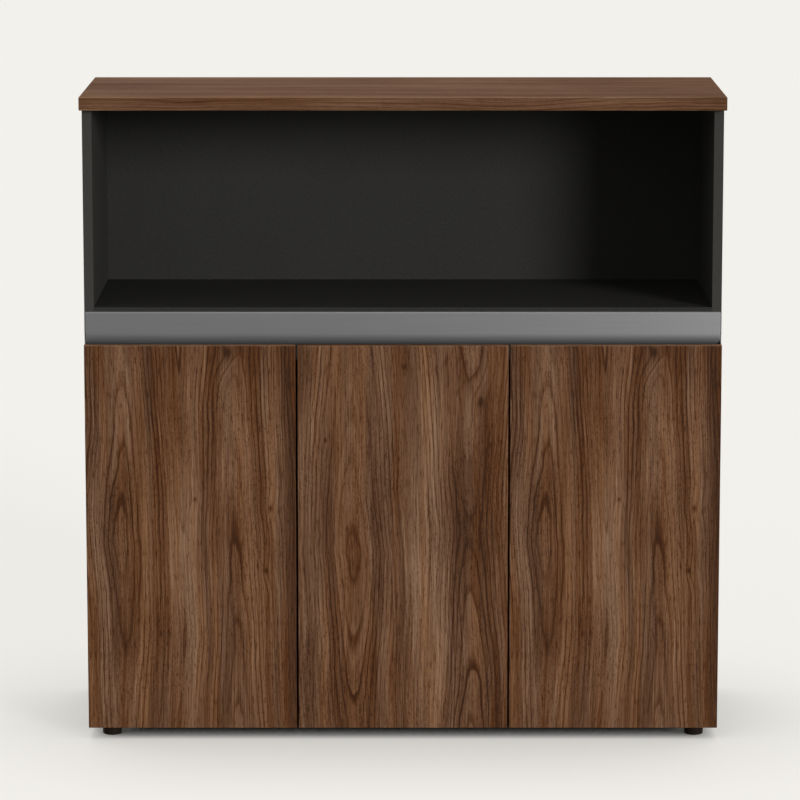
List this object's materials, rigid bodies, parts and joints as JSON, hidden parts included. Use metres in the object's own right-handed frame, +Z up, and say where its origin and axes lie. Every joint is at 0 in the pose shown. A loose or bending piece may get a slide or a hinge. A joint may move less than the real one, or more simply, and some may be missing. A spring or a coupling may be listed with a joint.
{
  "type": "office credenza",
  "caption": "Office credenza with an open upper bay over handleless hinged doors, a full-width finger-pull rail, adjustable shelves and levelling feet.",
  "frame": {"origin": "on the floor under the middle of the cabinet", "axes": "+X to the right seen from the front, +Y from the doors to the back, +Z up"},
  "size_m": [1.2, 0.4, 1.222],
  "materials": {
    "walnut": "satin",
    "charcoal_board": "matte",
    "rail_metal": "satin",
    "steel": "satin",
    "dark_plastic": "matte"
  },
  "bodies": {
    "carcass": {"top_panel": "walnut", "side_panel_left": "charcoal_board", "side_panel_right": "charcoal_board", "bottom_panel": "charcoal_board", "bay_floor": "charcoal_board", "partition": "charcoal_board", "back_panel": "charcoal_board", "finger_pull_rail": "rail_metal", "rail_end_cap_left": "dark_plastic", "rail_end_cap_right": "dark_plastic", "shelf_wide": "charcoal_board", "shelf_narrow": "charcoal_board", "shelf_pin_wide_left_front": "steel", "shelf_pin_wide_left_rear": "steel", "shelf_pin_wide_right_front": "steel", "shelf_pin_wide_right_rear": "steel", "shelf_pin_narrow_left_front": "steel", "shelf_pin_narrow_left_rear": "steel", "shelf_pin_narrow_right_front": "steel", "shelf_pin_narrow_right_rear": "steel", "foot_insert_front_left": "steel", "foot_insert_front_right": "steel", "foot_insert_rear_left": "steel", "foot_insert_rear_right": "steel", "hinge_arm_left_lower": "steel", "hinge_plate_left_lower": "steel", "hinge_arm_left_upper": "steel", "hinge_plate_left_upper": "steel", "hinge_arm_middle_lower": "steel", "hinge_plate_middle_lower": "steel", "hinge_arm_middle_upper": "steel", "hinge_plate_middle_upper": "steel", "hinge_arm_right_lower": "steel", "hinge_plate_right_lower": "steel", "hinge_arm_right_upper": "steel", "hinge_plate_right_upper": "steel"},
    "left_door": {"door_left": "walnut", "hinge_leaf_left_lower": "steel", "hinge_pin_left_lower": "steel", "hinge_leaf_left_upper": "steel", "hinge_pin_left_upper": "steel"},
    "middle_door": {"door_middle": "walnut", "hinge_leaf_middle_lower": "steel", "hinge_pin_middle_lower": "steel", "hinge_leaf_middle_upper": "steel", "hinge_pin_middle_upper": "steel"},
    "right_door": {"door_right": "walnut", "hinge_leaf_right_lower": "steel", "hinge_pin_right_lower": "steel", "hinge_leaf_right_upper": "steel", "hinge_pin_right_upper": "steel"},
    "front_left_foot": {"foot_front_left": "dark_plastic"},
    "front_right_foot": {"foot_front_right": "dark_plastic"},
    "rear_left_foot": {"foot_rear_left": "dark_plastic"},
    "rear_right_foot": {"foot_rear_right": "dark_plastic"}
  },
  "joints": [
    {"name": "door_left_swing", "type": "hinge", "parent": "carcass", "child": "left_door", "pos_m": [-0.5892, -0.1932, 0.3845], "axis": [0, 0, -1], "range_deg": [0, 95]},
    {"name": "door_middle_swing", "type": "hinge", "parent": "carcass", "child": "middle_door", "pos_m": [0.1907, -0.1932, 0.3845], "axis": [0, 0, 1], "range_deg": [0, 95]},
    {"name": "door_right_swing", "type": "hinge", "parent": "carcass", "child": "right_door", "pos_m": [0.5892, -0.1932, 0.3845], "axis": [0, 0, 1], "range_deg": [0, 95]},
    {"name": "foot_front_left_height", "type": "slide", "parent": "carcass", "child": "front_left_foot", "axis": [0, 0, 1], "range_m": [-0.01, 0]},
    {"name": "foot_front_right_height", "type": "slide", "parent": "carcass", "child": "front_right_foot", "axis": [0, 0, 1], "range_m": [-0.01, 0]},
    {"name": "foot_rear_left_height", "type": "slide", "parent": "carcass", "child": "rear_left_foot", "axis": [0, 0, 1], "range_m": [-0.01, 0]},
    {"name": "foot_rear_right_height", "type": "slide", "parent": "carcass", "child": "rear_right_foot", "axis": [0, 0, 1], "range_m": [-0.01, 0]}
  ]
}
